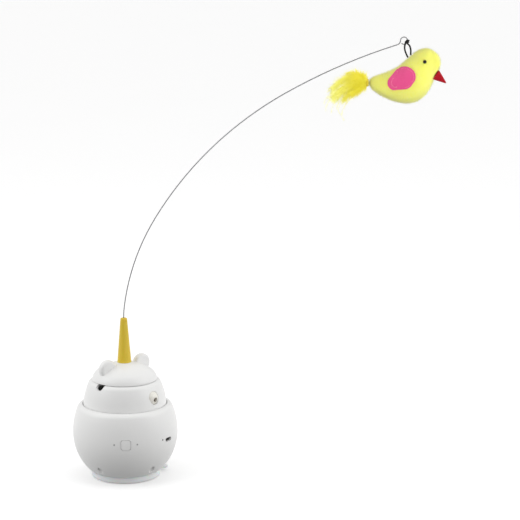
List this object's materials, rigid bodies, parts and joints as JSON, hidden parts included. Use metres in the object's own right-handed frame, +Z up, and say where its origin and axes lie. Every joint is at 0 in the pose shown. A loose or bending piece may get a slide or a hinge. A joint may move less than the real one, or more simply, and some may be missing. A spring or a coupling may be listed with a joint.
{
  "type": "automatic cat laser toy",
  "caption": "Round rechargeable cat toy: a suction-footed base turns a bear-eared head with a tilting laser eye and a spring-wire wand that dangles a plush bird.",
  "frame": {"origin": "centre of the suction foot's underside, on the axis that the head turns about", "axes": "+Z up along the head's axis, +X towards the side that the wand bends over to, -Y the side seen in front; the base's button stands 4.3 degrees towards +X from -Y"},
  "size_m": [0.3507, 0.1003, 0.4194],
  "materials": {
    "silicone": "translucent matte",
    "white_shell": "satin white",
    "white_inner": "matte white",
    "white_button": "satin white",
    "screw_steel": "zinc plated",
    "ballast_steel": "rolled",
    "cell_sleeve": "blue sleeve over the can",
    "inner_plastic": "matte dark grey",
    "bush_brass": "turned",
    "motor_can": "plated",
    "gear_plastic": "natural acetal",
    "circuit_board": "solder mask",
    "switch_plastic": "matte black",
    "socket_steel": "plated",
    "light_pipe": "frosted",
    "contact_brass": "bright",
    "cream_ball": "satin cream",
    "module_brass": "turned",
    "lens_glass": "clear",
    "yellow_holder": "satin yellow",
    "spring_wire": "drawn",
    "elastic_cord": "woven",
    "yellow_plush": "short pile",
    "pink_felt": "felt",
    "red_felt": "felt",
    "black_bead": "gloss",
    "yellow_feather": "down",
    "yellow_thread": "wound thread"
  },
  "bodies": {
    "base": {"suction_foot": "silicone", "base_plate": "white_shell", "base_screws": "screw_steel", "lower_shell": "white_shell", "upper_shell": "white_shell", "housing_screws": "screw_steel", "ballast_plate": "ballast_steel", "battery": "cell_sleeve", "battery_cradle": "inner_plastic", "deck": "inner_plastic", "deck_screws": "screw_steel", "spindle_bush": "bush_brass", "thrust_washer": "bush_brass", "idler_pin": "screw_steel", "motor": "motor_can", "motor_screws": "screw_steel", "main_board": "circuit_board", "board_screws": "screw_steel", "tact_switch": "switch_plastic", "usb_socket": "socket_steel", "usb_tongue": "switch_plastic", "status_lenses": "light_pipe", "charge_lens": "light_pipe", "brush_block": "inner_plastic", "brush_fingers": "contact_brass"},
    "pinion": {"motor_pinion": "gear_plastic", "motor_shaft": "screw_steel"},
    "idler": {"idler_gear": "gear_plastic"},
    "button": {"power_button": "white_button", "switch_plunger": "switch_plastic"},
    "head": {"turntable": "white_inner", "spindle_clip": "screw_steel", "output_gear": "gear_plastic", "contact_rings": "contact_brass", "head_band": "white_shell", "head_screws": "screw_steel", "head_cap": "white_shell", "laser_bracket": "inner_plastic", "bracket_screws": "screw_steel", "laser_board": "circuit_board"},
    "laser_eye": {"laser_ball": "cream_ball", "laser_module": "module_brass", "laser_lens": "lens_glass"},
    "wand": {"wand_holder": "yellow_holder", "wand_wire": "spring_wire"},
    "tether": {"tether_loop": "elastic_cord"},
    "bird": {"bird_body": "yellow_plush", "wing_left": "pink_felt", "wing_right": "pink_felt", "bird_beak": "red_felt", "bird_eyes": "black_bead", "tail_feathers": "yellow_feather", "tail_binding": "yellow_thread"}
  },
  "joints": [
    {"name": "head_spin", "type": "hinge", "parent": "base", "child": "head", "pos_m": [0, 0, 0.0681], "axis": [0, 0, 1], "continuous": true},
    {"name": "idler_spin", "type": "hinge", "parent": "base", "child": "idler", "pos_m": [0.0104, 0.01801, 0.06], "axis": [0, 0, 1], "continuous": true},
    {"name": "motor_spin", "type": "hinge", "parent": "base", "child": "pinion", "pos_m": [-0.00528, 0.0212, 0.058], "axis": [0, 0, 1], "continuous": true},
    {"name": "button_press", "type": "slide", "parent": "base", "child": "button", "axis": [-0.075, 0.9972, 0], "range_m": [0, 0.0006], "stiffness_N_per_m": 400, "springref_m": -0.0005},
    {"name": "laser_tilt", "type": "hinge", "parent": "head", "child": "laser_eye", "pos_m": [0.02533, -0.02052, 0.0812], "axis": [0.6293, 0.7771, 0], "range_deg": [-15, 15]},
    {"name": "wand_pull", "type": "slide", "parent": "head", "child": "wand", "axis": [0, 0, 1], "range_m": [0, 0.014]},
    {"name": "tether_swing", "type": "hinge", "parent": "wand", "child": "tether", "pos_m": [0.26119, 0, 0.41559], "axis": [0, -1, 0], "range_deg": [-5, 45]},
    {"name": "bird_sway", "type": "hinge", "parent": "tether", "child": "bird", "pos_m": [0.2661, 0, 0.4013], "axis": [1, 0, 0], "range_deg": [-30, 30]}
  ],
  "couplings": [
    {"joint": "idler_spin", "follows": "head_spin", "ratio": -3.3333},
    {"joint": "motor_spin", "follows": "head_spin", "ratio": 10}
  ]
}
